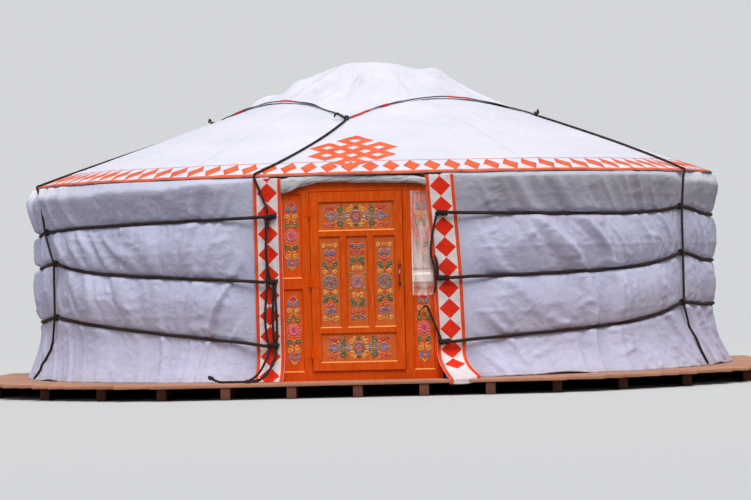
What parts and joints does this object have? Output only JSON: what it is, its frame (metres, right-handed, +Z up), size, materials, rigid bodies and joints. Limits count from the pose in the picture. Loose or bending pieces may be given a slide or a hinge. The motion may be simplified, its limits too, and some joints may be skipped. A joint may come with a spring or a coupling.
{
  "type": "yurt",
  "caption": "Round felt tent on a low timber deck, with a lattice wall, roof poles seated in a domed crown, roped canvas covers and a panelled orange door that opens outwards.",
  "frame": {"origin": "on the ground under the middle of the deck, which is the centre of the round wall", "axes": "+X to the right as seen from in front of the door, +Y from the door towards the back, +Z up"},
  "size_m": [7.2, 6.509, 2.828],
  "materials": {
    "deck_wood": "weathered",
    "orange_wood": "gloss paint",
    "red_wood": "gloss paint",
    "panel_wood": "painted ornament",
    "hinge_iron": "painted",
    "handle_iron": "satin",
    "felt": "matted wool",
    "canvas": "matt",
    "strip_cloth": "printed cotton",
    "rope": "twisted hair rope"
  },
  "bodies": {
    "root": {"deck_joists": "deck_wood", "deck_boards": "deck_wood", "lattice_1": "orange_wood", "lattice_2": "orange_wood", "lattice_3": "orange_wood", "lattice_4": "orange_wood", "lattice_5": "orange_wood", "roof_poles": "orange_wood", "crown_ring": "red_wood", "crown_hub": "red_wood", "crown_spokes": "red_wood", "post_left": "red_wood", "post_right": "red_wood", "door_frame": "orange_wood", "side_panels_left": "panel_wood", "side_panels_right": "panel_wood", "door_head_rail": "orange_wood", "hinge_frame_halves": "hinge_iron", "wall_felt_1": "felt", "wall_felt_2": "felt", "wall_felt_3": "felt", "wall_felt_4": "felt", "wall_felt_5": "felt", "roof_felt_1": "felt", "roof_felt_2": "felt", "roof_felt_3": "felt", "roof_felt_4": "felt", "roof_felt_5": "felt", "wall_canvas_1": "canvas", "wall_canvas_2": "canvas", "wall_canvas_3": "canvas", "wall_canvas_4": "canvas", "wall_canvas_5": "canvas", "roof_canvas": "canvas", "crown_cover": "canvas", "door_strip_left": "strip_cloth", "door_strip_right": "strip_cloth", "door_valance": "canvas", "girth_ropes": "rope", "tie_down_ropes": "rope", "door_ties_left": "rope", "door_ties_right": "rope", "rope_tail_long": "rope", "rope_tail_short": "rope"},
    "door_leaf": {"door_leaf": "orange_wood", "leaf_panels": "panel_wood", "hinge_leaf_halves": "hinge_iron", "pull_handle": "handle_iron"}
  },
  "joints": [
    {"name": "door_swing", "type": "hinge", "parent": "root", "child": "door_leaf", "pos_m": [-0.3725, -2.9115, 0], "axis": [0, 0, -1], "range_deg": [0, 110]}
  ]
}
